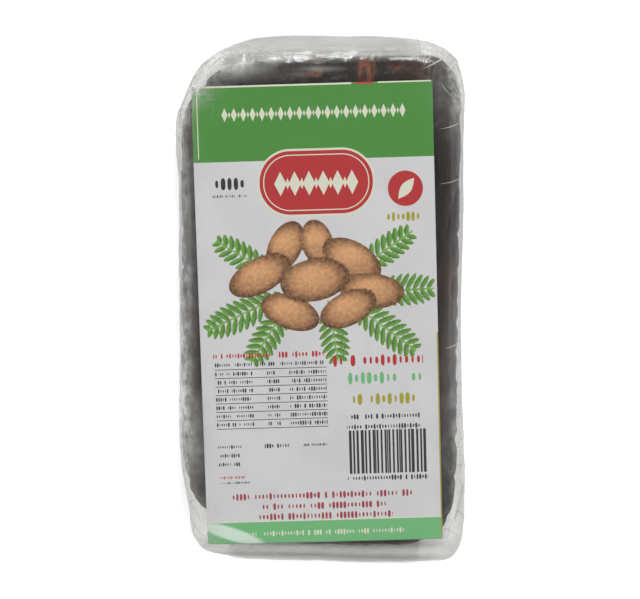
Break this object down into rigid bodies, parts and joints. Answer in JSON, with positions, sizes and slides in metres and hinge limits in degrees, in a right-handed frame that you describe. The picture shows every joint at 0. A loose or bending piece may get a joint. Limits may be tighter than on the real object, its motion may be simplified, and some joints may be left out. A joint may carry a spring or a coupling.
{
  "type": "film-wrapped tamarind pulp block",
  "caption": "Flat slab of pressed tamarind pulp with a printed paper label, wrapped in clear film with folded ends, lying on its back.",
  "frame": {"origin": "middle of the pack's outline, on the surface that the pack lies on", "axes": "+Z out of the label, +Y towards the pack's top end, +X to the right as the label is read"},
  "size_m": [0.0814, 0.1496, 0.0179],
  "materials": {
    "pulp": "sticky, dark brown, slightly glossy",
    "label": "printed paper, satin",
    "film": "clear, crinkled packing film"
  },
  "bodies": {
    "root": {"pulp_block": "pulp", "label_card": "label", "film_wrap": "film"}
  },
  "joints": []
}
